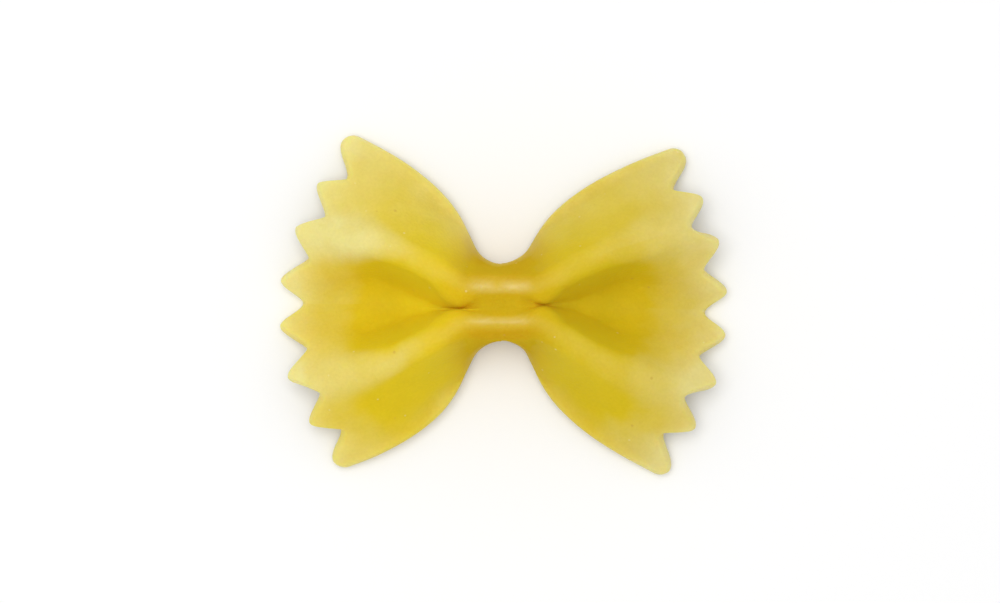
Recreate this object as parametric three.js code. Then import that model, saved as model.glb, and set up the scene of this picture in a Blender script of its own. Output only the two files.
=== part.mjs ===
// One dry farfalla: a rectangle of rolled dough with both ends cut in teeth, gathered across its middle
// into two pleats and pinched there, so that the ends open out like the wings of a bow.
//
// Millimetres. X runs along the length, Y across the wings, Z up from the table the piece lies on.
// A place on the dough is given by its distance from the pinch along the valley ("along") and by its
// distance from the valley measured over the dough ("across"). Each wing has a back half (+Y) and a
// front half (-Y); each half is one pleat: valley, crest, foot.
import * as THREE from "three";
import { ParametricGeometry } from "three/addons/geometries/ParametricGeometry.js";
import { mergeVertices } from "three/addons/utils/BufferGeometryUtils.js";

const { clamp, lerp, smoothstep } = THREE.MathUtils;

// The rolled dough.
const SHEET = 1.2; // thickness
const HALF = SHEET / 2;
const HALF_WIDTH = 17; // from the valley to a side edge, over the dough
const RIM = 0.42; // depth of the rounding along every cut
const EAR = 0.97; // radius of a rounded corner

// The pinch.
const PINCH_X = -0.22; // it sits a little off the middle of the length
const BAR = 3.1; // half the length of the pressed bar, where the pleats run side by side
const KINK = 0.35; // radius of the turn where a pleat leaves the bar
const GROOVE = 0.5; // depth of the groove left between the pressed pleats, above and below
const SLIT = 0.03; // half the gap between two pleats that only touch
const NIP = 0.12; // the waist is nipped in this much in its middle
const SADDLE = 0.15; // and dips this much

// Heights of the middle of the sheet above the table.
const CREST_HIGH = 7.9; // of a crest beside the pinch
const CREST_STRAIGHT = 3; // a crest is level this far out
const PINCH_RISE = 0.6; // the pinch pushes it up this much more
const VALLEY_RISE = 4; // the valley climbs this much towards the pinch
const EDGE_LIFT = 0.8; // a side edge rises this much halfway along a wing

// Bends of the middle of the sheet.
const GROOVE_BEND = 1.8; // into the pressed groove
const GROOVE_FLOOR = 0.5; // under it
const MOUTH_BEND = 0.9; // along the valley, where it opens
const VALLEY_BEND = 3.6; // and out in the wing
const CREST_BEND = 0.7; // over the crest, beside the pinch
const WING_CREST_BEND = 1.4; // and out in the wing
const FOOT_BEND = 2.2; // at the flaring foot of a wing
const PINCHED_FOOT = 0.05; // and at the pinch, where a side edge points straight down

// The two wings. "run" is the length of a wing along its valley; "drift" is how far the valley strays
// sideways and "lean" how far its mouth is pushed over; the layers are one mass as far out as "mass", and
// the pleats still lean on each other as far out as "mouth". "cut" has the tips and the notches along the
// end, in turn from the front corner to the back one, each by its place across and its distance from the
// pinch, and "pointed" is how pointed they are.
// In each half "y" is where the side edge starts at the pinch, "curve" the two inner points and the end of
// its path, along and across; "pleat" is how far off its crest is at the pinch, "fan" how steeply it leaves
// the bar, "crest" how far out it ends and "end" how high; "rim" and "shoulder" are its bends at the pinch,
// on the inner side of the crest and on the outer one.
const WINGS = [
  {
    sign: -1,
    run: 20,
    drift: 0.1,
    lean: -0.33,
    mass: 2.7,
    mouth: 6.8,
    pointed: 0.4,
    cut: [
      [-16.17, 19.32], [-13.27, 17.17], [-11.85, 19.47], [-9.09, 17.51], [-7.11, 19.88],
      [-4.57, 17.64], [-2.22, 19.82], [0.04, 17.71], [2.17, 19.79], [4.55, 17.58],
      [7.04, 19.44], [8.84, 17.31], [11.67, 19.3], [13.01, 17.17], [16.13, 19.63],
    ],
    back: {
      y: 3.83,
      curve: [4.7, -0.66, 8.95, 13.9, 15.64],
      pleat: 1.58,
      fan: 0.51,
      crest: 7,
      end: 2.4,
      rim: 0.5,
      shoulder: 0.5,
    },
    front: {
      y: 3.39,
      curve: [5.28, -0.6, 9.9, 15.13, 15.04],
      pleat: 1.45,
      fan: 0.48,
      crest: 7.4,
      end: 3.2,
      rim: 0.3,
      shoulder: 1.1,
    },
  },
  {
    sign: 1,
    run: 20.35,
    drift: -0.5,
    lean: 0,
    mass: 2.8,
    mouth: 5.9,
    pointed: 0.2,
    cut: [
      [-16.4, 20.36], [-13.07, 17.86], [-11.61, 20.13], [-8.78, 17.99], [-6.97, 20.23],
      [-4.66, 18.17], [-2.38, 20.24], [-0.25, 18.3], [1.84, 20.29], [4.18, 18.4],
      [6.9, 20.1], [8.61, 17.96], [11.33, 19.77], [12.89, 17.58], [15.86, 19.92],
    ],
    back: {
      y: 3.87,
      curve: [5.04, -0.78, 8.55, 16.42, 14.45],
      pleat: 1.58,
      fan: 0.45,
      crest: 6.9,
      end: 3.6,
      rim: 0.5,
      shoulder: 0.5,
    },
    front: {
      y: 3.3,
      curve: [5.22, -1.15, 7.98, 14.65, 15.51],
      pleat: 1.45,
      fan: 0.5,
      crest: 8.2,
      end: 3.2,
      rim: 0.3,
      shoulder: 1.1,
    },
  },
];

// The paths of the side edges, worked out once.
for (const wing of WINGS) {
  for (const half of [wing.back, wing.front]) {
    const [x1, x2, y2, x3, y3] = half.curve;
    half.path = new THREE.CubicBezierCurve(
      new THREE.Vector2(0, half.y),
      new THREE.Vector2(x1, half.y),
      new THREE.Vector2(x2, y2),
      new THREE.Vector2(x3, y3),
    );
  }
}

// The places across an end where its outline turns: rim, rounded corner, tips, notches and flanks.
function turnsOf(wing) {
  const places = wing.cut.map(([place]) => place);
  const cornerOf = (ear) => [0, 0.12, RIM, lerp(RIM, HALF_WIDTH - Math.abs(ear), 0.5)];
  const front = cornerOf(places[0]).map((inset) => inset - HALF_WIDTH);
  const back = cornerOf(places.at(-1)).map((inset) => HALF_WIDTH - inset);
  const flanks = places.slice(1).flatMap((place, i) => {
    return [0, 0.16, 0.5, 0.84].map((share) => lerp(places[i], place, share));
  });
  return [...front, ...flanks, places.at(-1), ...back.reverse()];
}

// Where the dough ends, as a distance along it, at a place across the wing: tips and notches are joined by
// S-shaped flanks, and the outer corners are rounded off.
function endOf(wing, across) {
  const last = wing.cut.length - 1;
  const found = wing.cut.findIndex(([place]) => across <= place);
  const next = found < 0 ? last : Math.max(found, 1);
  const [from, fromReach] = wing.cut[next - 1];
  const [to, toReach] = wing.cut[next];
  const turn = Math.cos(Math.PI * clamp((across - from) / (to - from), 0, 1));
  const pointed = next === 1 || next === last ? 0 : wing.pointed;
  const wave = turn / Math.sqrt(1 + pointed * (1 - turn ** 2));
  const inset = clamp(HALF_WIDTH - Math.abs(across), 0, EAR);
  const corner = EAR - Math.sqrt(EAR ** 2 - (EAR - inset) ** 2);
  return lerp(toReach, fromReach, (1 + wave) / 2) - corner;
}

// The crest of a pleat seen from above: beside its twin along the bar, then fanning out.
function crestAt(half, along) {
  const past = Math.hypot(Math.max(along - BAR, 0), KINK) - KINK;
  const gain = half.crest - half.pleat;
  const fan = (distance) => Math.tanh((half.fan * distance) / gain);
  return half.pleat + (gain * fan(past)) / fan(HALF_WIDTH);
}

// The valley seen from above.
function valleyAt(wing, along) {
  const mouth = smoothstep(along, 0.6, 2.4) * (1 - smoothstep(along, 4.2, 9));
  return wing.drift * smoothstep(along, 4, wing.run) + wing.lean * mouth;
}

// Half a pleat in section: an arc out of a level low line, a straight leg, an arc into a level crest. The
// bends are made smaller where there is no room for them. Its two ends may also lie apart lengthwise, by
// "strayed", and then it takes more dough.
function sectionOf(width, rise, lowBend, highBend, strayed) {
  const roundest = (width ** 2 + rise ** 2) / (2 * rise);
  const fit = Math.min(1, (0.998 * roundest) / (lowBend + highBend));
  const low = lowBend * fit;
  const high = highBend * fit;
  const bends = low + high;
  const centres = Math.hypot(width, bends - rise);
  const turn = Math.atan2(width, bends - rise) - Math.acos(Math.min(1, bends / centres));
  const leg = Math.sqrt(Math.max(centres ** 2 - bends ** 2, 0));
  const length = bends * turn + leg;
  return { low, high, turn, leg, length, dough: length * Math.hypot(1, strayed / width) };
}

// A place on half a pleat: a share of its length, and how far off the middle of the sheet it is.
function placeOn({ low, high, turn, leg, length }, share, off) {
  const place = share * length;
  const lowTurn = clamp(place / low, 0, turn);
  const up = clamp(place - low * turn, 0, leg);
  const left = turn - clamp((place - low * turn - leg) / high, 0, turn);
  const inner = low - off;
  const outer = high + off;
  return [
    inner * Math.sin(lowTurn) + up * Math.cos(turn) + outer * (Math.sin(turn) - Math.sin(left)),
    low - inner * Math.cos(lowTurn) + up * Math.sin(turn) + outer * (Math.cos(left) - Math.cos(turn)),
  ];
}

// How a pleat is folded at a distance along the wing, for its upper or its lower face.
function foldAt(wing, half, along, upper) {
  const hand = half === wing.front ? -1 : 1;
  const edge = half.path.getPointAt(clamp(along / wing.run, 0, 1));
  const valley = valleyAt(wing, along);
  const crest = crestAt(half, along) - hand * valley;

  // Heights of the feet, the valley and the crest. Pressed together, the layers leave only a groove above
  // and below the mass of dough.
  const feet = HALF + EDGE_LIFT * Math.sin((Math.PI * along) / wing.run);
  const floor = HALF + VALLEY_RISE * (1 - smoothstep(along, 1, 11));
  const fall = Math.cos((clamp((along - CREST_STRAIGHT) / (wing.run - CREST_STRAIGHT), 0, 1) * Math.PI) / 2);
  const pushed = PINCH_RISE * (1 - smoothstep(along, 3, 10)) - SADDLE * (1 - smoothstep(along, 0.2, 2.6));
  const top = lerp(half.end, CREST_HIGH, fall) + pushed;
  const pressed = 1 - smoothstep(along, wing.mass - 1.6, wing.mass + 1.1);
  const touching = 1 - smoothstep(along, wing.mass + 0.8, wing.mouth);
  const shut = 1 - smoothstep(along, wing.mass, wing.mouth + 1.2);
  const filled = (top - floor - lerp(crest, GROOVE, pressed)) * shut;
  const low = upper ? floor + filled : floor;
  const high = upper ? top : top - filled;

  // The bends of the inner side of the pleat: open, standing against its twin, and pressed.
  const openLow = lerp(MOUTH_BEND, VALLEY_BEND, smoothstep(along, 5, 13));
  const openHigh = lerp(CREST_BEND, WING_CREST_BEND, smoothstep(along, 8, 17));
  const closedLow = lerp(openLow, HALF + SLIT, touching);
  const closedHigh = lerp(openHigh, crest - HALF - SLIT, touching);
  const lowBend = lerp(closedLow, upper ? GROOVE_BEND : GROOVE_FLOOR, pressed);
  const highBend = lerp(closedHigh, upper ? half.rim : GROOVE_BEND, pressed);

  // And of its outer side, steep beside the pinch and flaring at the foot of a wing.
  const outerHigh = lerp(half.shoulder, openHigh, smoothstep(along, 2, 6));
  const outerLow = lerp(PINCHED_FOOT, FOOT_BEND, smoothstep(along, 2.5, 9));
  const nip = NIP * Math.cos((2 * Math.PI * along) / 3.9) * (1 - smoothstep(along, 3.6, 5.2));
  const foot = edge.y - hand * valley - Math.max(HALF - outerLow, 0) - nip;

  // The ends of the dough swing back round the pinch, more the further they are from the valley, and the
  // dough is shared out between the two sides of the crest as each needs it.
  const swung = along - edge.x;
  const swungAtCrest = swung * (crest / foot) ** 2;
  const inside = sectionOf(crest, high - low, lowBend, highBend, swungAtCrest);
  const outside = sectionOf(foot - crest, high - feet, outerLow, outerHigh, swung - swungAtCrest);
  const crestShare = inside.dough / (inside.dough + outside.dough);
  return { hand, valley, foot, feet, low, swung, inside, outside, crestShare };
}

// A point of the dough: "side" is 1 for the upper face, -1 for the lower one and 0 for the rim.
function doughPoint(wing, along, across, side, target) {
  const half = across < 0 ? wing.front : wing.back;
  const { hand, valley, foot, feet, low, swung, inside, outside, crestShare } = foldAt(
    wing,
    half,
    along,
    side > 0,
  );
  const share = Math.min(Math.abs(across) / HALF_WIDTH, 1);
  let out;
  let up;
  if (share < crestShare) {
    [out, up] = placeOn(inside, share / crestShare, side * HALF);
    up += low;
  } else {
    [out, up] = placeOn(outside, (1 - share) / (1 - crestShare), side * HALF);
    out = foot - out;
    up += feet;
  }
  const back = swung * (out / foot) ** 2;
  return target.set(PINCH_X + wing.sign * (along - back), valley + hand * out, up);
}

// The stations along a wing, from the pinch to the cut, as [distance, share of the full thickness].
function stationsOf(wing) {
  const stations = [];
  const run = (from, to, steps) => {
    for (let i = 0; i < steps; i += 1) {
      stations.push([lerp(from, to, i / steps), 1]);
    }
  };
  run(0, 1.1, 1);
  run(1.1, 5.1, 9);
  run(5.1, wing.run - 1.2, 8);
  run(wing.run - 1.2, wing.run - RIM, 1);
  for (const inset of [RIM, 0.12, 0]) {
    stations.push([wing.run - inset, roundingAt(inset)]);
  }
  return stations;
}

// The share of the full thickness at a distance inside a cut.
function roundingAt(inset) {
  return Math.sqrt(1 - (1 - clamp(inset / RIM, 0, 1)) ** 2);
}

const turns = WINGS.map(turnsOf);
const stations = WINGS.map(stationsOf);
const COLUMNS = turns[0].length - 1;
const ROWS = stations[0].length - 1;

const CREST_COLUMN = 7 / 16; // the share of the columns of a half that lie between its valley and its crest

// Where the columns gather across the pinch, with one of them along each crest.
function gathered(column, crestShare) {
  const even = lerp(-1, 1, column / COLUMNS);
  const size = Math.abs(even);
  const past = (size - CREST_COLUMN) / (1 - CREST_COLUMN);
  const share = past < 0 ? (size / CREST_COLUMN) * crestShare : lerp(crestShare, 1, past);
  return Math.sign(even) * share * HALF_WIDTH;
}

// The skin of the whole piece. Round the loop it runs under the lower face from the front edge to the
// back one and returns over the upper face; from one end to the other it runs along the length.
function skin(loop, length, target) {
  const step = (1 - loop) * 2 * COLUMNS;
  const upper = step <= COLUMNS;
  const column = Math.round(upper ? step : 2 * COLUMNS - step);
  const row = Math.round(length * 2 * ROWS) - ROWS;
  const which = row < 0 ? 0 : 1;
  const wing = WINGS[which];
  const [station, thickness] = stations[which][Math.abs(row)];
  const turn = turns[which][column];
  const half = turn < 0 ? wing.front : wing.back;
  const { crestShare } = foldAt(wing, half, station, upper);
  const keep = smoothstep(HALF_WIDTH - Math.abs(turn), 0.5, 2.5);
  const fan = smoothstep(station, 5, 13);
  const across = lerp(turn, gathered(column, crestShare), (1 - fan) * keep);
  const warp = smoothstep(station, 10, wing.run - RIM);
  const along = station + (endOf(wing, across) - wing.run) * warp;
  const side = (upper ? 1 : -1) * thickness * roundingAt(HALF_WIDTH - Math.abs(across));
  doughPoint(wing, along, across, side, target);
}

function farfallaGeometry() {
  const geometry = new ParametricGeometry(skin, 2 * COLUMNS, 2 * ROWS);
  geometry.deleteAttribute("normal");
  geometry.deleteAttribute("uv");
  const closed = mergeVertices(geometry, 1e-4);
  closed.computeVertexNormals();
  closed.computeBoundingBox();
  const { min, max } = closed.boundingBox;
  closed.translate(-(min.x + max.x) / 2, -(min.y + max.y) / 2, -min.z);
  return closed;
}

const farfalla = new THREE.Mesh(
  farfallaGeometry(),
  new THREE.MeshStandardMaterial({ color: 0xe0c060, roughness: 0.55, metalness: 0 }),
);
farfalla.name = "farfalla";

const part = new THREE.Group();
part.name = "farfalla_pasta";
part.add(farfalla);

export default part;
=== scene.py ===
import math
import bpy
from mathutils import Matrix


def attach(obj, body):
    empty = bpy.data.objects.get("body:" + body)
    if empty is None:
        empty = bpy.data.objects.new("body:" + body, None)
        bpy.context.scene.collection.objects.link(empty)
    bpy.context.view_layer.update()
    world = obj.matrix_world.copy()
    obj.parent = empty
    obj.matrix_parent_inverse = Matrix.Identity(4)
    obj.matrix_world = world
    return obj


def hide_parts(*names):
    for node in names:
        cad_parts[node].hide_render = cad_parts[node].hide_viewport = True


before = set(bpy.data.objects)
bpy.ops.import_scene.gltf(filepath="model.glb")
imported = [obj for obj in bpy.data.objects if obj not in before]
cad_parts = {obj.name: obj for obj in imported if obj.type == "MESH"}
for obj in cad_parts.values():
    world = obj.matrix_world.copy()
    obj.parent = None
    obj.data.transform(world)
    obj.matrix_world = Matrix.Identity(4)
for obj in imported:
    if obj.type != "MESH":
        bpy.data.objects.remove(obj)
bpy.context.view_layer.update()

from types import SimpleNamespace

import bpy
import numpy as np

# One dry farfalla lying on a pale table, seen from straight above. The dough is cut out flat, with teeth
# along both ends, and a node tree then folds it into two pleats and pinches it across the middle.
# Sizes are millimetres until the tree turns them into metres.

MM = 0.001

# The rolled dough: how thick it is, half its width across, and the radii that its cut edges and the corners
# of its ears are rounded by.
SHEET = 1.2
HALF_WIDTH = 17.0
RIM = 0.42
EAR = 0.97

# The pinch: where it is along the piece, how far from it the crests run side by side, and how softly they
# then turn outwards.
PINCH_X = -0.22
BAR = 3.1
KINK = 0.35

# The two wings: along the valley, "run" is the length of a wing, "drift" how far its valley strays sideways
# and "lean" how far the mouth of the valley is pushed over; "mass" is how far out the layers are one mass
# and "mouth" how far out the pleats still lean on each other. Its painted shading is how light its dough is
# painted: the darker right wing is painted shade. "cut" has the tips and notches along its end, in turn from
# the front ear to the back one, each by its place across the dough and its distance from the pinch, and
# "pointed" is how pointed they are.
# In each half, "y" is where the side edge starts at the pinch, and "curve" the two inner points and the end
# of its path, along and across; "pleat" is how far off its crest is at the pinch, "fan" how steeply it
# turns away there, "crest" how far out it ends and "end" how high it still is at the cut.
# The dough keeps its deep colour as far out as "deep"; "edge" is how pale its side edge is painted, partly
# thin dough and partly painted light, "lobe" how far in that reaches, and the last how pale its crest is
# painted, mostly a painted highlight.
WINGS = (
    {
        "sign": -1,
        "run": 20.0,
        "drift": 0.1,
        "lean": -0.33,
        "mass": 2.7,
        "mouth": 6.8,
        "tone": 1.0,
        "pointed": 0.4,
        "cut": (
            (-16.17, 19.32), (-13.27, 17.17), (-11.85, 19.47), (-9.09, 17.51), (-7.11, 19.88),
            (-4.57, 17.64), (-2.22, 19.82), (0.04, 17.71), (2.17, 19.79), (4.55, 17.58),
            (7.04, 19.44), (8.84, 17.31), (11.67, 19.30), (13.01, 17.17), (16.13, 19.63),
        ),
        "back": {
            "y": 3.83, "curve": (4.70, -0.66, 8.95, 13.90, 15.64),
            "pleat": 1.58, "fan": 0.51, "crest": 7.0, "end": 2.4,
            "deep": 12.6, "edge": 0.53, "lobe": 8.5, "ridge": 1.0,
        },
        "front": {
            "y": 3.39, "curve": (5.28, -0.60, 9.90, 15.13, 15.04),
            "pleat": 1.45, "fan": 0.48, "crest": 7.4, "end": 3.2,
            "deep": 13.2, "edge": 0.31, "lobe": 3.4, "ridge": 0.48,
        },
    },
    {
        "sign": 1,
        "run": 20.35,
        "drift": -0.5,
        "lean": 0.0,
        "mass": 2.8,
        "mouth": 5.9,
        # Painted shade: the right wing's dough is painted darker.
        "tone": 0.91,
        "pointed": 0.2,
        "cut": (
            (-16.40, 20.36), (-13.07, 17.86), (-11.61, 20.13), (-8.78, 17.99), (-6.97, 20.23),
            (-4.66, 18.17), (-2.38, 20.24), (-0.25, 18.30), (1.84, 20.29), (4.18, 18.40),
            (6.90, 20.10), (8.61, 17.96), (11.33, 19.77), (12.89, 17.58), (15.86, 19.92),
        ),
        "back": {
            "y": 3.87, "curve": (5.04, -0.78, 8.55, 16.42, 14.45),
            "pleat": 1.58, "fan": 0.45, "crest": 6.9, "end": 3.6,
            "deep": 13.1, "edge": 0.42, "lobe": 8.0, "ridge": 0.25,
        },
        "front": {
            "y": 3.30, "curve": (5.22, -1.15, 7.98, 14.65, 15.51),
            "pleat": 1.45, "fan": 0.5, "crest": 8.2, "end": 3.2,
            "deep": 12.6, "edge": 0.25, "lobe": 3.3, "ridge": 0.17,
        },
    },
)

# How far out the mouth of a valley begins and ends, each from and to, and from where the valley drifts.
MOUTH_BEGINS = (0.6, 2.4)
MOUTH_ENDS = (4.2, 9.0)
DRIFT_FROM = 4.0

# How finely the dough is divided, and how much closer its columns stand at the tips, the notches and folds.
# The columns leave the folds for the teeth as they go out, all but those beside the side edges, and the rows
# follow the teeth from so far out.
FLANK_STEPS = 11
CORNER_STEPS = 8
RIM_STEPS = 5
CURVE_STEPS = 400
ROW_STEP = 0.2
CLOSER_AT_TIPS = 0.6
CLOSER_AT_FOLDS = 0.5
COLUMNS_FAN = (3.0, 12.0)
BESIDE_EDGES = (0.5, 2.5)
TEETH_FROM = 10.0

# The colours: of the dough in the wings; in the thick mass, whose amber is also painted shade on the steep
# walls beside the pinch; where it is pale, which is partly pale dough and partly painted light and highlight;
# of the bran specks and tiny bubbles in it; and of the table, which is so wide.
DEEP_YELLOW = (0.75, 0.56, 0.013)
THICK_AND_SHADED_AMBER = (0.61, 0.37, 0.010)
PALE_STRAW_AND_HIGHLIGHT = (0.815, 0.715, 0.27)
BRAN_BROWN = (0.60, 0.36, 0.06)
BUBBLE_CREAM = (0.93, 0.84, 0.50)
TABLE_WHITE = (0.98, 0.98, 0.98)
TABLE_SIZE = 4000

# The light of the sky and of one large square lamp.
SKY = 0.62
LAMP_PLACE = (-60, 50, 550)
LAMP_SIZE = 400
LAMP_POWER = 1.5

# The camera straight above: how wide the picture is, how much of it a millimetre takes, and how far the
# middle of the piece is from the middle of the picture, all in pixels, and then its lens and film.
PICTURE_WIDTH = 1000
PIXELS_PER_MM = 11.175
OFF_MIDDLE = (3.5, -3.5)
LENS = 135
FILM = 36


def smoothstep(value, low, high):
    share = np.clip((value - low) / (high - low), 0, 1)
    return share * share * (3 - 2 * share)


def closer(places, waves, amount):
    """Even places moved closer together where each of so many waves begins and ends."""
    turn = 2 * math.pi * waves
    return places - amount * np.sin(turn * places) / turn


# ---------------------------------------------------------------- the flat dough


def turning_places(wing):
    """The columns across a wing's end: close together where the outline turns."""
    places = [place for place, _ in wing["cut"]]
    turn = np.linspace(0, math.pi / 2, RIM_STEPS + 1)
    rim = RIM * (1 - np.cos(turn))
    inward = np.linspace(0, 1, CORNER_STEPS + 1)[1:-1]
    ears = (places[0], places[-1])
    corners = [np.concatenate([rim, RIM + (HALF_WIDTH - RIM - abs(ear)) * inward]) for ear in ears]
    share = closer(np.linspace(0, 1, FLANK_STEPS + 1)[:-1], 1, CLOSER_AT_TIPS)
    flanks = [last + (place - last) * share for last, place in zip(places, places[1:])]
    return np.concatenate([corners[0] - HALF_WIDTH, *flanks, [places[-1]], (HALF_WIDTH - corners[1])[::-1]])


def end_of(wing, across):
    """Where the cut end of a wing lies, along the dough: tips and notches joined by S-shaped flanks."""
    places, reaches = np.array(wing["cut"]).T
    index = np.clip(np.searchsorted(places, across) - 1, 0, len(places) - 2)
    share = np.clip((across - places[index]) / (places[index + 1] - places[index]), 0, 1)
    turn = np.cos(math.pi * share)
    ear = (index == 0) | (index == len(places) - 2)
    pointed = np.where(ear, 0, wing["pointed"])
    wave = turn / np.sqrt(1 + pointed * (1 - turn**2))
    inset = np.clip(HALF_WIDTH - np.abs(across), 0, EAR)
    corner = EAR - np.sqrt(EAR**2 - (EAR - inset) ** 2)
    return reaches[index + 1] + (reaches[index] - reaches[index + 1]) * (1 + wave) / 2 - corner


def rounding(inset):
    """The share of the full thickness at a distance inside a cut."""
    return np.sqrt(1 - (1 - np.clip(inset / RIM, 0, 1)) ** 2)


def side_edge(half, share):
    """The plan of a side edge, at shares of its length."""
    x1, x2, y2, x3, y3 = half["curve"]
    corners = np.array([(0, half["y"]), (x1, half["y"]), (x2, y2), (x3, y3)])
    t = np.linspace(0, 1, CURVE_STEPS)[:, None]
    line = (
        (1 - t) ** 3 * corners[0] + 3 * (1 - t) ** 2 * t * corners[1]
        + 3 * (1 - t) * t**2 * corners[2] + t**3 * corners[3]
    )
    length = np.concatenate([[0], np.cumsum(np.hypot(*np.diff(line, axis=0).T))])
    share = np.clip(share, 0, 1) * length[-1]
    return np.interp(share, length, line[:, 0]), np.interp(share, length, line[:, 1])


def crest_line(half, along):
    """The crest of a pleat in plan: beside its twin at the pinch, then fanning out."""
    past = np.hypot(np.maximum(along - BAR, 0), KINK) - KINK
    gain = half["crest"] - half["pleat"]
    steep = half["fan"] / gain
    return half["pleat"] + gain * np.tanh(steep * past) / math.tanh(steep * HALF_WIDTH)


def valley_line(wing, along):
    """The valley in plan."""
    mouth = smoothstep(along, *MOUTH_BEGINS) * (1 - smoothstep(along, *MOUTH_ENDS))
    return wing["drift"] * smoothstep(along, DRIFT_FROM, wing["run"]) + wing["lean"] * mouth


def flat_dough():
    """The dough as it is cut, one closed skin lying flat, and where its plan lines run at each vertex."""
    turns = [turning_places(wing) for wing in WINGS]
    columns = len(turns[0]) - 1
    gathered = HALF_WIDTH * closer(np.linspace(-1, 1, columns + 1), 2, CLOSER_AT_FOLDS)
    turn = np.linspace(0, math.pi / 2, RIM_STEPS + 1)
    rim_rows = RIM * (1 - np.cos(turn[::-1]))

    rows = []
    for wing, places in zip(WINGS, turns):
        steps = round((wing["run"] - RIM) / ROW_STEP)
        stations = np.concatenate([np.linspace(0, wing["run"] - RIM, steps + 1)[:-1], wing["run"] - rim_rows])
        fan = smoothstep(stations, *COLUMNS_FAN)[:, None]
        free = smoothstep(HALF_WIDTH - np.abs(places), *BESIDE_EDGES)
        across = places + (1 - fan) * free * (gathered - places)
        warp = smoothstep(stations, TEETH_FROM, wing["run"] - RIM)[:, None]
        along = stations[:, None] + (end_of(wing, across) - wing["run"]) * warp
        thick = rounding(wing["run"] - stations)[:, None] * rounding(HALF_WIDTH - np.abs(across))
        halves = {}
        for name in ("back", "front"):
            half = wing[name]
            x, y = side_edge(half, along / wing["run"])
            own = [np.full(along.shape, half[fact]) for fact in HALF_FACTS]
            halves[name] = np.stack([x, y, crest_line(half, along), *own], -1)
        lines = np.where((across >= 0)[..., None], halves["back"], halves["front"])
        whole = [np.full(along.shape, wing[fact]) for fact in WING_FACTS]
        whole.append(valley_line(wing, along))
        facts = np.concatenate([np.stack([wing["sign"] * along, across, thick, *whole], -1), lines], -1)
        rows.append(facts)

    # The rows run from one cut end to the other, each as a loop over the upper face and back under the lower
    # one. At the two cut ends both faces share their vertices.
    facts = np.concatenate([rows[0][::-1], rows[1][1:]])
    under = facts[:, -2:0:-1].copy()
    under[..., 2] *= -1
    loop = np.concatenate([facts, under], axis=1)
    count, around = loop.shape[:2]
    index = np.arange(count * around).reshape(count, around)
    for end in (0, -1):
        index[end, columns + 1:] = index[end, columns - 1:0:-1]
    used, place = np.unique(index, return_inverse=True)
    index = place.reshape(index.shape)
    values = loop.reshape(-1, loop.shape[-1])[used]
    turned = np.roll(index, -1, axis=1)
    quads = np.stack([index[:-1], index[1:], turned[1:], turned[:-1]], -1).reshape(-1, 4)

    mesh = bpy.data.meshes.new("flat_dough")
    points = values[:, :3] * (1, 1, SHEET / 2)
    mesh.from_pydata((points * MM).tolist(), [], quads.tolist())
    for name, column in zip(PLAN_FACTS, values[:, 3:].T):
        mesh.attributes.new(name, "FLOAT", "POINT").data.foreach_set("value", column.astype(np.float32))
    mesh.validate()
    return mesh


# ---------------------------------------------------------------- node trees written as sums


class Value:
    """A number in a node tree. Arithmetic on it adds Math nodes."""

    def __init__(self, tree, socket):
        self.tree = tree
        self.socket = socket

    def __add__(self, other):
        return math_node(self.tree, "ADD", self, other)

    def __sub__(self, other):
        return math_node(self.tree, "SUBTRACT", self, other)

    def __rsub__(self, other):
        return math_node(self.tree, "SUBTRACT", other, self)

    def __mul__(self, other):
        return math_node(self.tree, "MULTIPLY", self, other)

    def __truediv__(self, other):
        return math_node(self.tree, "DIVIDE", self, other)

    __radd__ = __add__
    __rmul__ = __mul__


def wire(tree, value, socket):
    if isinstance(value, Value):
        tree.links.new(value.socket, socket)
    else:
        socket.default_value = value


def math_node(tree, operation, *values):
    node = tree.nodes.new("ShaderNodeMath")
    node.operation = operation
    for value, socket in zip(values, node.inputs):
        wire(tree, value, socket)
    return Value(tree, node.outputs[0])


def calls(tree):
    """The functions used in the sums, each adding its nodes to the tree."""

    def ease(value, low, high):
        node = tree.nodes.new("ShaderNodeMapRange")
        node.interpolation_type = "SMOOTHSTEP"
        wire(tree, value, node.inputs["Value"])
        wire(tree, low, node.inputs["From Min"])
        wire(tree, high, node.inputs["From Max"])
        return Value(tree, node.outputs["Result"])

    def attribute(name):
        node = tree.nodes.new("GeometryNodeInputNamedAttribute")
        node.inputs["Name"].default_value = name
        return Value(tree, node.outputs["Attribute"])

    def noise(flat, name):
        join = tree.nodes.new("ShaderNodeCombineXYZ")
        for value, socket in zip((flat.x, flat.y, SEEDS[name]), join.inputs):
            wire(tree, value, socket)
        node = tree.nodes.new("ShaderNodeTexNoise")
        node.inputs["Scale"].default_value = WAVES[name]
        node.inputs["Detail"].default_value = 1.0
        tree.links.new(join.outputs[0], node.inputs["Vector"])
        return (Value(tree, node.outputs["Fac"]) - 0.5) * 2.0

    def simple(operation):
        return lambda *values: math_node(tree, operation, *values)

    def fade(value, low, high):
        return 1 - ease(value, low, high)

    def mix(first, second, share):
        return first + (second - first) * share

    def mix_reach(first, second, share):
        return [mix(one, other, share) for one, other in zip(first, second)]

    def both(first, second):
        return 1 - (1 - first) * (1 - second)

    f = SimpleNamespace(ease=ease, fade=fade, mix=mix, mix_reach=mix_reach, both=both)
    f.attribute = attribute
    f.noise = noise
    for name in ("minimum", "maximum", "absolute", "sign", "sqrt"):
        setattr(f, name, simple(name.upper()))
    f.sin = simple("SINE")
    f.cos = simple("COSINE")
    f.acos = simple("ARCCOSINE")
    f.atan2 = simple("ARCTAN2")
    f.above = simple("GREATER_THAN")
    f.clamp = lambda value, low, high: f.minimum(f.maximum(value, low), high)
    return f


# ---------------------------------------------------------------- folding

WING_FACTS = ("run", "mass", "mouth", "tone")
HALF_FACTS = ("end", "deep", "edge", "lobe", "ridge")
PLAN_FACTS = (*WING_FACTS, "valley", "edge_x", "edge_y", "crest", *HALF_FACTS)

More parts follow.
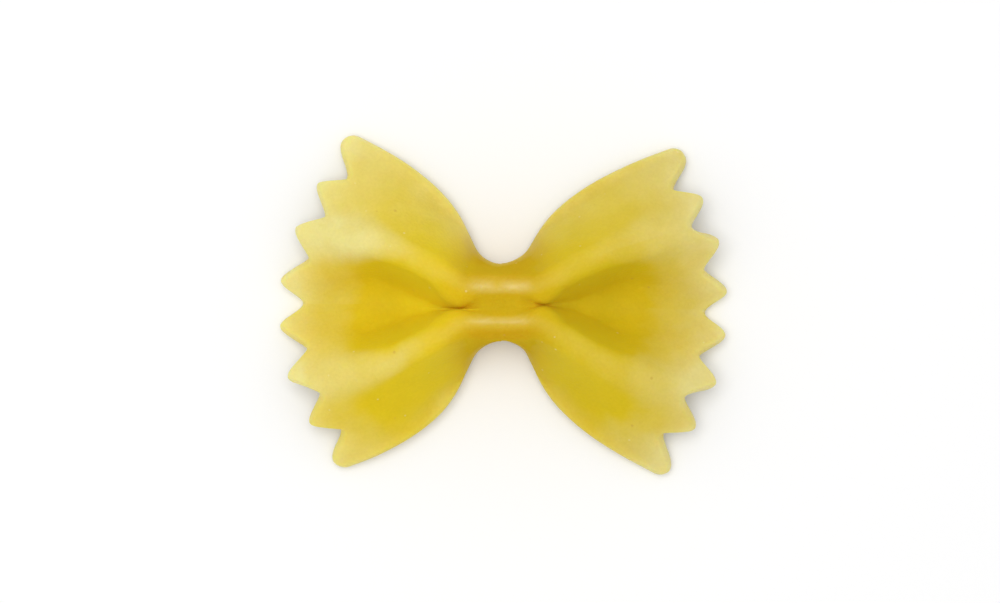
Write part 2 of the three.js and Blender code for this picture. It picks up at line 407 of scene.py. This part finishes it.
# The sizes that the fold is made by: radii of bends, heights and depths.
FOLD_INPUTS = {
    "Sheet": SHEET,
    "Half Width": HALF_WIDTH,
    "Pinch X": PINCH_X,
    "Slit": 0.03,
    "Groove Depth": 0.5,
    "Groove Bend": 1.8,
    "Groove Rim Bend": 0.5,
    "Mouth Bend": 0.9,
    "Valley Bend": 3.6,
    "Valley Rise": 4.0,
    "Crest Bend": 0.7,
    "Wing Crest Bend": 1.4,
    "Back Shoulder": 0.5,
    "Front Shoulder": 1.1,
    "Foot Bend": 2.2,
    "Nip": 0.12,
    "Crest Height": 7.9,
    "Crest Straight": 3.0,
    "Pinch Rise": 0.6,
    "Edge Lift": 0.8,
    "Saddle": 0.15,
    "Unevenness": 0.05,
    "Waviness": 0.25,
    # How pale the smooth strips are painted, as a painted highlight.
    "Painted Highlight": 0.2,
}

# From how far off the pinch, and to how far, the fold changes.
SADDLE_REACH = (0.2, 2.6)
PINCH_RISE_REACH = (3.0, 10.0)
VALLEY_RISE_REACH = (1.0, 11.0)
VALLEY_BEND_REACH = (5.0, 13.0)
CREST_BEND_REACH = (8.0, 17.0)
SHOULDER_REACH = (2.0, 6.0)
FOOT_BEND_REACH = (2.5, 9.0)
NIP_REACH = (3.6, 5.2)
UNEVEN_REACH = (3.5, 9.0)

# The pressed layers let go of each other from so far before the end of the mass to so far past it, the pleats
# lean on each other from so far past it, and are quite open so far past the mouth.
LETTING_GO = (-1.6, 1.1)
LEANING_FROM = 0.8
OPEN_PAST_MOUTH = 1.2

# Bends of the pressed layers under the valley and at the foot, how much sharper the groove's front rim is
# than its back one, and how long the wave of the nip is.
UNDER_BEND = 0.5
PINCHED_FOOT_BEND = 0.05
FRONT_RIM_SHARPER = 0.4
NIP_WAVE = 3.9

# The random patterns: where each is taken from the noise, and how many of its waves go in a millimetre.
SEEDS = {"along": 3.0, "across": 17.0, "height": 31.0, "border": 5.0, "fine border": 7.0, "wear": 23.0}
WAVES = {"along": 0.22, "across": 0.22, "height": 0.17, "border": 0.2, "fine border": 0.7, "wear": 0.9}

# How far the borders of the pale dough wander, in wide waves and in fine ones, and how much of that shows
# beside the crests.
WANDER_WIDE = 1.3
WANDER_FINE = 0.7
CREST_WANDER = 0.3

# The pale ends, partly thin dough and partly painted light: how much earlier they begin on the crests and at
# the right ears, how much later beyond the front crests, how wide their soft border is, how pale they are
# past it, and over what they get paler still.
EARLY_ON_CREST = 1.2
EARLY_AT_EAR = 0.4
LATE_BEYOND = 1.3
END_BORDER = (-0.4, 1.8)
END_PALE = 0.2
END_RAMP = (0.7, 6.5)

# The pale side edges, partly thin dough and partly painted light: where they begin at the back and in front,
# how much they fall off outwards, and how pale a broad lobe is all over.
EDGE_BACK_REACH = (2.0, 5.0)
EDGE_FRONT_REACH = (3.0, 8.0)
EDGE_FALL = (1.1, 0.8)
EDGE_FALL_REACH = (7.0, 13.0)
BROAD_LOBE = (4.0, 8.0)
LOBE_PALE = 0.3
LOBE_REACH = (7.0, 12.0)

# The painted highlights on the crests: how pale they are beside the pinch, where they get paler at the back
# and in front, and the widths of their inner and outer strips beside the pinch and at the ends, and where
# those broaden.
CREST_HIGHLIGHT = 0.13
CREST_BACK_REACH = (7.0, 14.0)
CREST_FRONT_REACH = (6.5, 10.0)
INNER_STRIP = (0.8, 3.8)
INNER_BACK_REACH = (9.2, 15.5)
INNER_FRONT_REACH = (10.0, 15.5)
OUTER_STRIP = (1.1, 2.2)
OUTER_STRIP_REACH = (8.5, 15.0)
OUTER_STRIP_OF_LOBE = 0.1

# The foot of the waist: how pale, how high up and how far out.
FOOT_PALE = 0.3
FOOT_PALE_WIDTH = 4.0
FOOT_PALE_REACH = (2.0, 6.0)

# The smooth strips on the crests of the pinch, which also carry a painted highlight: where they fade beside
# the ridge, at the back and in front, how far out they end, and the nick in the back one.
HIGHLIGHT_STRIP_BACK = (0.2, 0.75)
HIGHLIGHT_STRIP_FRONT = (0.05, 0.45)
HIGHLIGHT_STRIP_REACH = (1.7, 3.4)
NICK_X = -0.35
NICK_LENGTH = 0.7
NICK_ACROSS = (-0.45, 0.35)
NICK_DEPTH = 0.85

# The thick mass, whose colour is also painted shade on the steep walls under the crests: how much less of its
# colour shows above the crests than under them. How much darker the dough is painted at the pinch, and how
# much lighter it is painted in the mouths and in the slits behind them, as painted fill light in their shade.
THICK_REACH = (1.5, 7.0)
THICK_ON_TOP = 0.55
SHADED_UNDER_CREST = (0.2, 1.2)
PINCH_TONE = 0.97
PAINTED_MOUTH_FILL = 0.17
PAINTED_SLIT_FILL = 0.1


def bent_leg(f, width, rise, low_bend, high_bend):
    """Half a pleat in section is an arc out of a level low line, a straight leg, and an arc into a level
    crest: the two bends, made smaller where there is no room for them, how far they turn, and the leg."""
    roundest = (width * width + rise * rise) / (2 * rise)
    fit = f.minimum(1.0, 0.998 * roundest / (low_bend + high_bend))
    low_bend = low_bend * fit
    high_bend = high_bend * fit
    bends = low_bend + high_bend
    centres = f.sqrt(width * width + (bends - rise) * (bends - rise))
    turn = f.atan2(width, bends - rise) - f.acos(f.minimum(bends / centres, 1.0))
    leg = f.sqrt(f.maximum(centres * centres - bends * bends, 0.0))
    return low_bend, high_bend, turn, leg


def dough_length(f, section, width, strayed):
    """How much dough a half pleat takes whose two ends also lie apart lengthwise."""
    low_bend, high_bend, turn, leg = section
    return ((low_bend + high_bend) * turn + leg) * f.sqrt(1 + (strayed / width) * (strayed / width))


def pleat(f, section, share, off):
    """Where a place along half a pleat lies; off is its distance from the middle of the sheet."""
    low_bend, high_bend, turn, leg = section
    place = share * ((low_bend + high_bend) * turn + leg)
    low_turn = f.clamp(place / low_bend, 0.0, turn)
    up = f.clamp(place - low_bend * turn, 0.0, leg)
    left = turn - f.clamp((place - low_bend * turn - leg) / high_bend, 0.0, turn)
    low = low_bend - off
    high = high_bend + off
    out = low * f.sin(low_turn) + up * f.cos(turn) + high * (f.sin(turn) - f.sin(left))
    height = low_bend - low * f.cos(low_turn) + up * f.sin(turn) + high * (f.cos(left) - f.cos(turn))
    return out, height


def flat_place(tree, f, named):
    """A place on the flat dough: its wing, half and face, how far out it is, and the plan lines beside it."""
    position = tree.nodes.new("GeometryNodeInputPosition")
    parts = tree.nodes.new("ShaderNodeSeparateXYZ")
    tree.links.new(position.outputs[0], parts.inputs[0])
    x, y, z = (Value(tree, parts.outputs[axis]) * (1 / MM) for axis in "XYZ")
    flat = SimpleNamespace(x=x, y=y, **{name: f.attribute(name) for name in PLAN_FACTS})
    flat.along = f.absolute(x)
    flat.wing = f.sign(x)
    flat.front = f.above(0.0, y)
    flat.hand = 1 - 2 * flat.front
    flat.share = f.minimum(f.absolute(y) / named["Half Width"], 1.0)
    flat.off = z / SHEET * named["Sheet"]
    flat.upper = f.above(z, 0.0)
    return flat


def line_heights(f, named, flat):
    """Heights of the middle of the sheet along the feet, the crests and the valley, which climbs towards
    the pinch."""
    straight = named["Crest Straight"]
    half_sheet = named["Sheet"] * 0.5
    fall = f.cos(f.clamp((flat.along - straight) / (flat.run - straight), 0, 1) * math.pi / 2)
    edge_at = half_sheet + named["Edge Lift"] * f.sin(flat.along / flat.run * math.pi)
    crest_at = f.mix(flat.end, named["Crest Height"], fall)
    crest_at = crest_at + named["Pinch Rise"] * f.fade(flat.along, *PINCH_RISE_REACH)
    crest_at = crest_at - named["Saddle"] * f.fade(flat.along, *SADDLE_REACH)
    valley_at = half_sheet + named["Valley Rise"] * f.fade(flat.along, *VALLEY_RISE_REACH)
    return edge_at, crest_at, valley_at


def folded_place(f, named, flat):
    """Where a place of the dough lies once it is folded, and which side of the crest it is on."""
    along, front, hand, upper, share = flat.along, flat.front, flat.hand, flat.upper, flat.share
    half_sheet = named["Sheet"] * 0.5
    crest = flat.crest - hand * flat.valley
    edge_at, crest_at, valley_at = line_heights(f, named, flat)

    # At the pinch the layers are pressed together, so the upper face dips only a little between the crests.
    # Further out the two pleats lean on each other, and then they part.
    pressed = f.fade(along, flat.mass + LETTING_GO[0], flat.mass + LETTING_GO[1])
    touching = f.fade(along, flat.mass + LEANING_FROM, flat.mouth)
    shut = f.fade(along, flat.mass, flat.mouth + OPEN_PAST_MOUTH)
    closed = f.mix(crest, named["Groove Depth"], pressed)
    sunk = (crest_at - valley_at - closed) * shut
    low_at = valley_at + sunk * upper
    high_at = crest_at - sunk * (1 - upper)

    # The bends of the inner side of a pleat: open, standing against its twin, and pressed.
    open_low = f.mix(named["Mouth Bend"], named["Valley Bend"], f.ease(along, *VALLEY_BEND_REACH))
    open_high = f.mix(named["Crest Bend"], named["Wing Crest Bend"], f.ease(along, *CREST_BEND_REACH))
    low_bend = f.mix(open_low, half_sheet + named["Slit"], touching)
    high_bend = f.mix(open_high, crest - half_sheet - named["Slit"], touching)
    low_bend = f.mix(low_bend, f.mix(UNDER_BEND, named["Groove Bend"], upper), pressed)
    rim_bend = named["Groove Rim Bend"] * (1 - FRONT_RIM_SHARPER * front)
    high_bend = f.mix(high_bend, f.mix(named["Groove Bend"], rim_bend, upper), pressed)

    # And of its outer side, steep beside the pinch and flaring at the foot of a wing. The waist is nipped in
    # a little in its middle.
    shoulder = f.mix(named["Back Shoulder"], named["Front Shoulder"], front)
    outer_high = f.mix(shoulder, open_high, f.ease(along, *SHOULDER_REACH))
    outer_low = f.mix(PINCHED_FOOT_BEND, named["Foot Bend"], f.ease(along, *FOOT_BEND_REACH))
    nip = named["Nip"] * f.cos(along * (2 * math.pi / NIP_WAVE)) * f.fade(along, *NIP_REACH)
    foot = flat.edge_y - hand * flat.valley - f.maximum(half_sheet - outer_low, 0.0) - nip

    # The dough is shared out between the two sides of the crest as each needs it. Its ends swing back round
    # the pinch, more the further they are from the valley.
    swung = along - flat.edge_x
    swung_at_crest = swung * (crest / foot) * (crest / foot)
    inside = bent_leg(f, crest, high_at - low_at, low_bend, high_bend)
    outside = bent_leg(f, foot - crest, high_at - edge_at, outer_low, outer_high)
    inside_length = dough_length(f, inside, crest, swung_at_crest)
    outside_length = dough_length(f, outside, foot - crest, swung - swung_at_crest)
    crest_share = inside_length / (inside_length + outside_length)
    inner = f.above(crest_share, share)
    place = f.mix((1 - share) / (1 - crest_share), share / crest_share, inner)
    section = [f.mix(out_value, in_value, inner) for out_value, in_value in zip(outside, inside)]
    out, height = pleat(f, section, place, flat.off)
    out = f.mix(foot - out, out, inner)
    height = height + f.mix(edge_at, low_at, inner)
    back = swung * (out / foot) * (out / foot)

    # No piece is quite even, but at the pinch.
    free = f.ease(along, *UNEVEN_REACH)
    uneven = named["Unevenness"] * free
    x = named["Pinch X"] + flat.wing * (along - back) + uneven * f.noise(flat, "along")
    y = flat.valley + hand * out + uneven * f.noise(flat, "across")
    height = height + named["Waviness"] * free * f.noise(flat, "height")
    return SimpleNamespace(
        x=x, y=y, height=height, inner=inner, crest_share=crest_share, past_ridge=out - crest,
        past_crest=(share - crest_share) * named["Half Width"], to_side=named["Half Width"] * (1 - share),
    )


def paleness_and_painted_light(f, flat, folded, wander):
    """How pale the dough is painted towards the cut ends, along the side edges and on the crests: partly thin
    pale dough, partly painted light, and on the crests a painted highlight. The borders wander."""
    along, front = flat.along, flat.front
    past_crest = folded.past_crest + CREST_WANDER * wander
    to_crest = f.absolute(past_crest)
    to_side = folded.to_side + wander

    # Towards the ends.
    on_crest = f.fade(to_crest, 0.0, 3.5)
    beyond = front * f.ease(past_crest, -1.0, 2.0) * f.fade(past_crest, 3.0, 6.0)
    at_ear = f.above(flat.wing, 0.0) * f.ease(past_crest, 2.5, 5.5)
    outwards = along + wander - flat.deep
    outwards = outwards + EARLY_ON_CREST * on_crest - LATE_BEYOND * beyond + EARLY_AT_EAR * at_ear
    far_out = f.clamp((outwards - END_RAMP[0]) / (END_RAMP[1] - END_RAMP[0]), 0, 1)
    at_end = END_PALE * f.ease(outwards, *END_BORDER) + (1 - END_PALE) * far_out * far_out

    # Along the side edges, and a little all over a broad lobe.
    at_side = f.clamp(1 - to_side / flat.lobe, 0, 1)
    at_side = flat.edge * at_side * f.sqrt(at_side)
    at_side = at_side * f.ease(along, *f.mix_reach(EDGE_BACK_REACH, EDGE_FRONT_REACH, front))
    at_side = at_side * f.mix(*EDGE_FALL, f.ease(along, *EDGE_FALL_REACH))
    lobe_tone = LOBE_PALE * flat.edge * f.ease(flat.lobe, *BROAD_LOBE) * f.ease(along, *LOBE_REACH)

    # On the crests a painted highlight, over a strip that broadens outwards, more so beside a broad lobe.
    inner_reach = f.mix_reach(INNER_BACK_REACH, INNER_FRONT_REACH, front)
    inner_width = f.mix(*INNER_STRIP, f.ease(along, *inner_reach))
    outer_at_end = OUTER_STRIP[1] + OUTER_STRIP_OF_LOBE * flat.lobe
    outer_width = f.mix(OUTER_STRIP[0], outer_at_end, f.ease(along, *OUTER_STRIP_REACH))
    crest_width = f.mix(inner_width, outer_width, f.above(past_crest, 0.0))
    crest_reach = f.mix_reach(CREST_BACK_REACH, CREST_FRONT_REACH, front)
    highlight_at_crest = f.fade(to_crest, 0.0, crest_width) * f.mix(CREST_HIGHLIGHT, flat.ridge, f.ease(along, *crest_reach))

    # And faintly at the foot of the waist.
    at_foot = FOOT_PALE * f.clamp(1 - to_side / FOOT_PALE_WIDTH, 0, 1) * f.fade(along, *FOOT_PALE_REACH)
    pale_and_painted_light = f.both(at_end, f.both(at_side, lobe_tone * (1 - folded.inner)))
    return f.both(f.both(pale_and_painted_light, highlight_at_crest), at_foot)


def smooth_and_highlight_strip(f, flat, folded, wander):
    """How smooth the pinch has rubbed the crests, a mask that also paints a highlight there: a broad strip
    with a nick in it at the back, a thin one in front."""
    front = flat.front
    past_ridge = folded.past_ridge + 0.05 * front
    strip = f.fade(f.absolute(past_ridge), *f.mix_reach(HIGHLIGHT_STRIP_BACK, HIGHLIGHT_STRIP_FRONT, front))
    beside_nick = f.absolute(flat.x - NICK_X)
    nick = (1 - front) * f.ease(past_ridge, *NICK_ACROSS) * f.fade(beside_nick, 0.0, NICK_LENGTH)
    patchy = 0.75 + 0.6 * f.noise(flat, "wear")
    return strip * (1 - NICK_DEPTH * nick) * patchy * f.fade(flat.along + 0.4 * wander, *HIGHLIGHT_STRIP_REACH)


def thick_and_painted_shading(f, flat, folded, wander):
    """The dough is deep in colour where it is a thick mass, and deepest under the crests, which is painted
    shade on the steep walls of the waist. It is painted a little darker at the pinch, darker on the right
    wing as painted shade, and lighter inside the mouths and slits of the wings as painted fill light in their
    shade."""
    shaded_under_crest = (1 - folded.inner) * f.ease(folded.past_ridge, *SHADED_UNDER_CREST)
    thick = f.fade(flat.along + 0.5 * wander, *THICK_REACH) * f.mix(THICK_ON_TOP, 1.0, shaded_under_crest)
    towards_valley = folded.inner * (1 - flat.share / folded.crest_share)
    painted_fill_in_mouth = towards_valley * f.fade(f.absolute(flat.along - flat.mouth + 1), 0.5, 4.5)
    painted_fill_in_slit = towards_valley * f.fade(f.absolute(flat.along - flat.mass - 0.6), 0.2, 1.8)
    tone = f.mix(PINCH_TONE, flat.tone, f.ease(flat.along, 0.0, 6.0))
    return thick, tone + PAINTED_MOUTH_FILL * painted_fill_in_mouth + PAINTED_SLIT_FILL * painted_fill_in_slit


def fold_tree(material):
    """The tree that folds flat dough into a farfalla and pinches it."""
    tree = bpy.data.node_groups.new("fold_and_pinch", "GeometryNodeTree")
    tree.interface.new_socket("Geometry", in_out="INPUT", socket_type="NodeSocketGeometry")
    for name, default in FOLD_INPUTS.items():
        socket = tree.interface.new_socket(name, in_out="INPUT", socket_type="NodeSocketFloat")
        socket.default_value = default
    tree.interface.new_socket("Geometry", in_out="OUTPUT", socket_type="NodeSocketGeometry")
    start = tree.nodes.new("NodeGroupInput")
    named = {name: Value(tree, start.outputs[name]) for name in FOLD_INPUTS}
    f = calls(tree)

    flat = flat_place(tree, f, named)
    folded = folded_place(f, named, flat)
    join = tree.nodes.new("ShaderNodeCombineXYZ")
    for value, socket in zip((folded.x, folded.y, folded.height), join.inputs):
        wire(tree, value * MM, socket)

    # What the material reads of each place.
    wander = WANDER_WIDE * f.noise(flat, "border") + WANDER_FINE * f.noise(flat, "fine border")
    smooth = smooth_and_highlight_strip(f, flat, folded, wander)
    # The smooth strips are painted paler too, as a painted highlight.
    pale_and_painted_light = f.both(paleness_and_painted_light(f, flat, folded, wander), named["Painted Highlight"] * smooth)
    thick, tone = thick_and_painted_shading(f, flat, folded, wander)
    geometry = start.outputs["Geometry"]
    for name, value in (("pale_and_painted_light", pale_and_painted_light), ("thick", thick), ("tone", tone), ("smooth", smooth)):
        store = tree.nodes.new("GeometryNodeStoreNamedAttribute")
        store.inputs["Name"].default_value = name
        tree.links.new(geometry, store.inputs["Geometry"])
        wire(tree, value, store.inputs["Value"])
        geometry = store.outputs[0]

    move = tree.nodes.new("GeometryNodeSetPosition")
    tree.links.new(geometry, move.inputs["Geometry"])
    tree.links.new(join.outputs[0], move.inputs["Position"])
    round_off = tree.nodes.new("GeometryNodeSetShadeSmooth")
    tree.links.new(move.outputs[0], round_off.inputs["Geometry"])
    realize = tree.nodes.new("GeometryNodeRealizeInstances")
    tree.links.new(round_off.outputs[0], realize.inputs[0])
    coat = tree.nodes.new("GeometryNodeSetMaterial")
    coat.inputs["Material"].default_value = material
    tree.links.new(realize.outputs[0], coat.inputs["Geometry"])
    end = tree.nodes.new("NodeGroupOutput")
    tree.links.new(coat.outputs[0], end.inputs["Geometry"])
    return tree


def pasta_material():
    material = bpy.data.materials.new("pasta_dough")
    material.use_nodes = True
    tree = material.node_tree
    shader = tree.nodes["Principled BSDF"]
    f = calls(tree)
    place = tree.nodes.new("ShaderNodeTexCoord").outputs["Object"]

    def speckle(scale, detail):
        node = tree.nodes.new("ShaderNodeTexNoise")
        node.inputs["Scale"].default_value = scale
        node.inputs["Detail"].default_value = detail
        tree.links.new(place, node.inputs["Vector"])
        return (Value(tree, node.outputs["Fac"]) - 0.5) * 2.0

    def spots(scale, share, size):
        node = tree.nodes.new("ShaderNodeTexVoronoi")
        node.inputs["Scale"].default_value = scale
        tree.links.new(place, node.inputs["Vector"])
        parts = tree.nodes.new("ShaderNodeSeparateColor")
        tree.links.new(node.outputs["Color"], parts.inputs[0])
        chosen = f.above(share, Value(tree, parts.outputs[0]))
        return chosen * f.fade(Value(tree, node.outputs["Distance"]), 0.4 * size, size)

    def blend(first, second, share):
        node = tree.nodes.new("ShaderNodeMix")
        node.data_type = "RGBA"
        for colour, socket in ((first, node.inputs["A"]), (second, node.inputs["B"])):
            if isinstance(colour, tuple):
                socket.default_value = (*colour, 1)
            else:
                tree.links.new(colour, socket)
        wire(tree, share, node.inputs["Factor"])
        return node.outputs["Result"]

    def stored(name):
        node = tree.nodes.new("ShaderNodeAttribute")
        node.attribute_name = name
        return Value(tree, node.outputs["Fac"])

    # Cloudy patches a few millimetres across, the grain of the semolina, bran specks and tiny bubbles.
    cloud = speckle(420, 3.0)
    grain = speckle(3600, 2.0)
    bran = spots(620, 0.10, 0.12)
    bubble = spots(900, 0.16, 0.13)
    pale_and_painted_light = f.clamp(stored("pale_and_painted_light") * (1 + 0.3 * cloud) + 0.015 * (cloud + grain), 0, 1)
    # Painted shade: the amber of the thick mass is strongest on the steep walls under the crests.
    colour = blend(DEEP_YELLOW, THICK_AND_SHADED_AMBER, stored("thick"))
    # The pale straw is partly pale dough and partly painted light, with painted highlights on the crests and
    # on the smooth strips of the pinch.
    colour = blend(colour, PALE_STRAW_AND_HIGHLIGHT, pale_and_painted_light)
    colour = blend(colour, BRAN_BROWN, 0.45 * bran)
    colour = blend(colour, BUBBLE_CREAM, 0.35 * bubble)
    scale = tree.nodes.new("ShaderNodeVectorMath")
    scale.operation = "SCALE"
    tree.links.new(colour, scale.inputs[0])
    # This scale carries painted shading: the right wing and the pinch painted darker, and painted fill light
    # in the mouths and slits.
    wire(tree, stored("tone") * (1 + 0.05 * cloud + 0.05 * grain), scale.inputs["Scale"])
    tree.links.new(scale.outputs[0], shader.inputs["Base Color"])

    # The surface: matt, with a dull shine where it is pale or worn smooth, a fine grain to the touch, and
    # light that sinks in a little way.
    smooth = stored("smooth")
    wire(tree, 0.5 + 0.1 * cloud + 0.12 * grain - 0.22 * smooth, shader.inputs["Roughness"])
    sheen = f.maximum(0.05 + 0.12 * stored("pale_and_painted_light") - 0.07 * stored("thick"), 0.0) + 0.5 * smooth
    wire(tree, sheen, shader.inputs["Specular IOR Level"])
    bump = tree.nodes.new("ShaderNodeBump")
    bump.inputs["Strength"].default_value = 0.5
    bump.inputs["Distance"].default_value = 0.05 * MM
    wire(tree, 1.2 * cloud + grain + bubble - 0.5 * bran, bump.inputs["Height"])
    tree.links.new(bump.outputs[0], shader.inputs["Normal"])
    shader.inputs["Subsurface Weight"].default_value = 0.75
    shader.inputs["Subsurface Radius"].default_value = (1.0, 0.7, 0.2)
    shader.inputs["Subsurface Scale"].default_value = 2 * MM
    return material


def fold(dough, material):
    """The folded and pinched piece as a plain mesh, in the place where the node tree leaves it."""
    folded = bpy.data.objects.new("farfalla_fold", dough)
    bpy.context.collection.objects.link(folded)
    modifier = folded.modifiers.new("fold", "NODES")
    modifier.node_group = fold_tree(material)
    for item in modifier.node_group.interface.items_tree:
        if item.in_out == "INPUT" and item.name in FOLD_INPUTS:
            modifier[item.identifier] = FOLD_INPUTS[item.name]
    seen = folded.evaluated_get(bpy.context.evaluated_depsgraph_get())
    mesh = bpy.data.meshes.new_from_object(seen)
    bpy.data.objects.remove(folded)
    return mesh


def farfalla():
    mesh = fold(flat_dough(), pasta_material())
    mesh.name = "farfalla_pasta"
    points = np.empty(len(mesh.vertices) * 3, np.float32)
    mesh.vertices.foreach_get("co", points)
    points = points.reshape(-1, 3).astype(float)
    low, high = points.min(axis=0), points.max(axis=0)
    points -= ((low[0] + high[0]) / 2, (low[1] + high[1]) / 2, low[2])
    mesh.vertices.foreach_set("co", points.astype(np.float32).ravel())
    mesh.update()
    piece = bpy.data.objects.new("farfalla_pasta", mesh)
    bpy.context.collection.objects.link(piece)
    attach(piece, "root")
    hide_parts("farfalla")
    return piece


def floor():
    bpy.ops.mesh.primitive_plane_add(size=TABLE_SIZE * MM, location=(0, 0, 0))
    plane = bpy.context.object
    plane.name = "floor"
    material = bpy.data.materials.new("pale_floor")
    material.use_nodes = True
    shader = material.node_tree.nodes["Principled BSDF"]
    shader.inputs["Base Color"].default_value = (*TABLE_WHITE, 1)
    shader.inputs["Roughness"].default_value = 0.9
    plane.data.materials.append(material)


def lights():
    world = bpy.data.worlds.new("studio")
    bpy.context.scene.world = world
    world.use_nodes = True
    sky = world.node_tree.nodes["Background"].inputs
    sky["Color"].default_value = (1, 1, 1, 1)
    sky["Strength"].default_value = SKY
    light = bpy.data.lights.new("key", "AREA")
    light.size = LAMP_SIZE * MM
    light.energy = LAMP_POWER
    lamp = bpy.data.objects.new("key", light)
    lamp.location = [place * MM for place in LAMP_PLACE]
    lamp.rotation_euler = (-lamp.location).to_track_quat("-Z", "Y").to_euler()
    bpy.context.collection.objects.link(lamp)


def camera():
    """The camera, whose picture has its full scale a millimetre above the table."""
    data = bpy.data.cameras.new("camera")
    data.lens = LENS
    data.sensor_width = FILM
    eye = bpy.data.objects.new("camera", data)
    distance = PICTURE_WIDTH / PIXELS_PER_MM * LENS / FILM
    x, y = (-offset / PIXELS_PER_MM for offset in OFF_MIDDLE)
    eye.location = (x * MM, y * MM, (distance + 1) * MM)
    bpy.context.collection.objects.link(eye)
    bpy.context.scene.camera = eye
    bpy.context.scene.view_settings.view_transform = "Standard"


farfalla()
floor()
lights()
camera()
